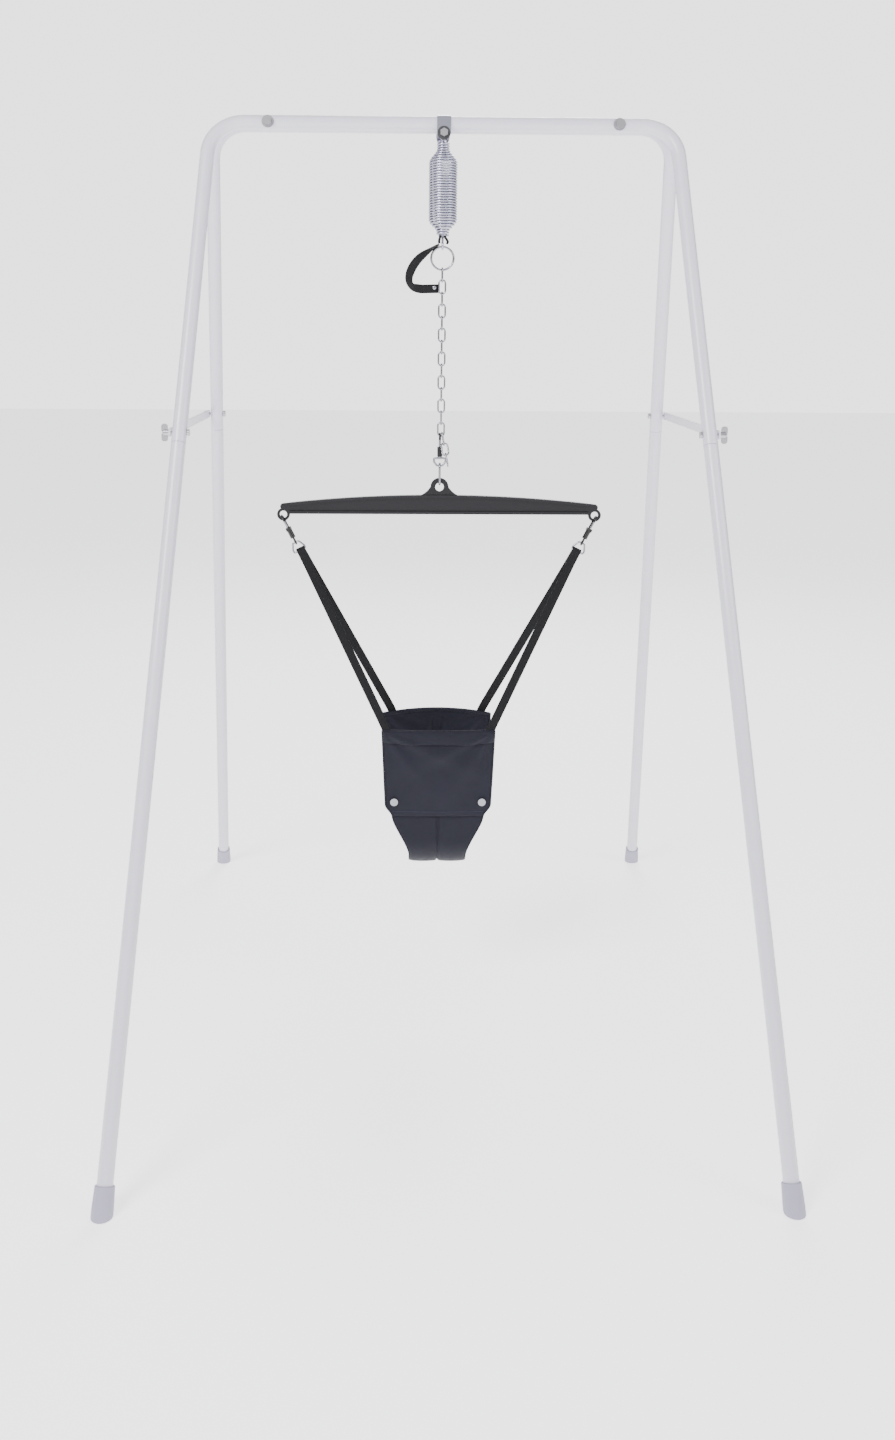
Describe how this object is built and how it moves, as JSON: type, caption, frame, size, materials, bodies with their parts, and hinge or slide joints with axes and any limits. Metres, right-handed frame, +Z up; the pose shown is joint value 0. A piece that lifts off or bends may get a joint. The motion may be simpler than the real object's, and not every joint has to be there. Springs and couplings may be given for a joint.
{
  "type": "activity jumper",
  "caption": "Baby jumper on its own folding A-frame stand: a fabric sling seat hung by webbing, spreader bar, chain and coil spring from the joined top bars.",
  "frame": {"origin": "centre of the footprint, on the floor", "axes": "+Z up; +X across the stand, to the right seen from the front; -Y towards the front of the seat"},
  "size_m": [1.0918, 1.4968, 1.715],
  "materials": {
    "white_powder_coat": "semi-gloss",
    "grey_cap_plastic": "matte",
    "zinc_hardware": "satin",
    "dark_washer": "matte",
    "polished_strap": "polished",
    "spring_steel": "satin",
    "bright_chain": "polished",
    "black_hook": "gloss",
    "black_plastic": "satin",
    "black_webbing": "woven",
    "navy_fabric": "woven"
  },
  "bodies": {
    "rear_frame": {"rear_upper_frame": "white_powder_coat", "rear_lower_leg_left": "white_powder_coat", "rear_lower_leg_right": "white_powder_coat", "rear_foot_left": "grey_cap_plastic", "rear_foot_right": "grey_cap_plastic", "rear_brace_bolts": "zinc_hardware", "rear_brace_nuts": "zinc_hardware"},
    "head": {"head_bolts": "zinc_hardware", "head_washers": "zinc_hardware", "head_nuts": "zinc_hardware", "head_spacers": "zinc_hardware", "hanger_clamp": "polished_strap", "clamp_bolt": "zinc_hardware", "clamp_washers": "dark_washer", "clamp_nut": "zinc_hardware"},
    "front_frame": {"front_upper_frame": "white_powder_coat", "front_lower_leg_left": "white_powder_coat", "front_lower_leg_right": "white_powder_coat", "front_foot_left": "grey_cap_plastic", "front_foot_right": "grey_cap_plastic", "front_brace_bolts": "zinc_hardware"},
    "brace_left_bar": {"brace_left": "white_powder_coat"},
    "brace_right_bar": {"brace_right": "white_powder_coat"},
    "wing_left": {"wing_nut_left": "zinc_hardware"},
    "wing_right": {"wing_nut_right": "zinc_hardware"},
    "spring_top": {"spring_hanger": "spring_steel", "coil_spring": "spring_steel"},
    "spring_bottom": {"spring_eye": "spring_steel", "safety_loop": "black_webbing"},
    "chain": {"suspension_ring": "bright_chain", "chain_links": "bright_chain", "safety_strap": "black_webbing", "strap_rivet": "bright_chain", "chain_hook": "black_hook"},
    "chain_gate": {"chain_hook_gate": "bright_chain"},
    "tail": {"chain_tail": "bright_chain"},
    "swivel": {"swivel_ring": "bright_chain", "connector_link": "bright_chain"},
    "spreader": {"spreader_bar": "black_plastic"},
    "seat": {"end_hook_left": "black_hook", "end_hook_right": "black_hook", "d_ring_left": "bright_chain", "d_ring_right": "bright_chain", "front_strap_left": "black_webbing", "front_strap_right": "black_webbing", "back_strap_left": "black_webbing", "back_strap_right": "black_webbing", "seat_front_panel": "navy_fabric", "seat_back_panel": "navy_fabric", "seat_crotch": "navy_fabric", "seat_front_band": "navy_fabric", "seat_snaps": "bright_chain"},
    "gate_left": {"end_hook_gate_left": "bright_chain"},
    "gate_right": {"end_hook_gate_right": "bright_chain"}
  },
  "joints": [
    {"name": "frame_fold", "type": "hinge", "parent": "rear_frame", "child": "head", "pos_m": [0, 0.0145, 1.7], "axis": [1, 0, 0], "range_deg": [0, 21]},
    {"name": "front_frame_fold", "type": "hinge", "parent": "head", "child": "front_frame", "pos_m": [0, -0.0145, 1.7], "axis": [1, 0, 0], "range_deg": [0, 21]},
    {"name": "brace_left_fold", "type": "hinge", "parent": "rear_frame", "child": "brace_left_bar", "pos_m": [-0.47208, 0.2386, 1.1683], "axis": [-1, 0, 0], "range_deg": [0, 66.15]},
    {"name": "wing_nut_left_turn", "type": "hinge", "parent": "front_frame", "child": "wing_left", "pos_m": [-0.47388, -0.24365, 1.15632], "axis": [1, 0, 0], "continuous": true},
    {"name": "brace_right_fold", "type": "hinge", "parent": "rear_frame", "child": "brace_right_bar", "pos_m": [0.47208, 0.2386, 1.1683], "axis": [-1, 0, 0], "range_deg": [0, 66.15]},
    {"name": "wing_nut_right_turn", "type": "hinge", "parent": "front_frame", "child": "wing_right", "pos_m": [0.47388, -0.24365, 1.15632], "axis": [1, 0, 0], "continuous": true},
    {"name": "spring_sway", "type": "hinge", "parent": "head", "child": "spring_top", "pos_m": [0, 0, 1.6825], "axis": [0, 1, 0], "range_deg": [-8, 8]},
    {"name": "bounce", "type": "slide", "parent": "spring_top", "child": "spring_bottom", "axis": [0, 0, -1], "range_m": [0, 0.15], "stiffness_N_per_m": 600, "springref_m": -0.04, "deforming": ["coil_spring"]},
    {"name": "chain_swing", "type": "hinge", "parent": "spring_bottom", "child": "chain", "pos_m": [0, 0, 1.4861], "axis": [1, 0, 0], "range_deg": [-20, 20]},
    {"name": "chain_gate_open", "type": "hinge", "parent": "chain", "child": "chain_gate", "pos_m": [-0.0019, -0.0074, 1.1197], "axis": [-1, 0, 0], "range_deg": [0, 30], "stiffness_Nm_per_rad": 0.02, "springref_deg": -5},
    {"name": "tail_swing", "type": "hinge", "parent": "chain", "child": "tail", "pos_m": [0.0019, 0, 1.1388], "axis": [-1, 0, 0], "range_deg": [0, 35]},
    {"name": "swivel_turn", "type": "hinge", "parent": "chain", "child": "swivel", "pos_m": [-0.0019, 0, 1.0997], "axis": [0, 0, 1], "continuous": true},
    {"name": "spreader_tilt", "type": "hinge", "parent": "swivel", "child": "spreader", "pos_m": [-0.0019, 0, 1.0465], "axis": [0, 1, 0], "range_deg": [-10, 10]},
    {"name": "seat_swing", "type": "hinge", "parent": "spreader", "child": "seat", "pos_m": [-0.0019, 0, 0.9787], "axis": [1, 0, 0], "range_deg": [-20, 20]},
    {"name": "end_gate_left_open", "type": "hinge", "parent": "seat", "child": "gate_left", "pos_m": [-0.29338, -0.0074, 0.96445], "axis": [-0.8909, 0, -0.4541], "range_deg": [0, 30], "stiffness_Nm_per_rad": 0.02, "springref_deg": -5},
    {"name": "end_gate_right_open", "type": "hinge", "parent": "seat", "child": "gate_right", "pos_m": [0.28958, -0.0074, 0.96445], "axis": [-0.8909, 0, 0.4541], "range_deg": [0, 30], "stiffness_Nm_per_rad": 0.02, "springref_deg": -5}
  ],
  "couplings": [
    {"joint": "front_frame_fold", "follows": "frame_fold", "ratio": 1},
    {"joint": "brace_left_fold", "follows": "frame_fold", "ratio": 3.15},
    {"joint": "brace_right_fold", "follows": "frame_fold", "ratio": 3.15}
  ]
}
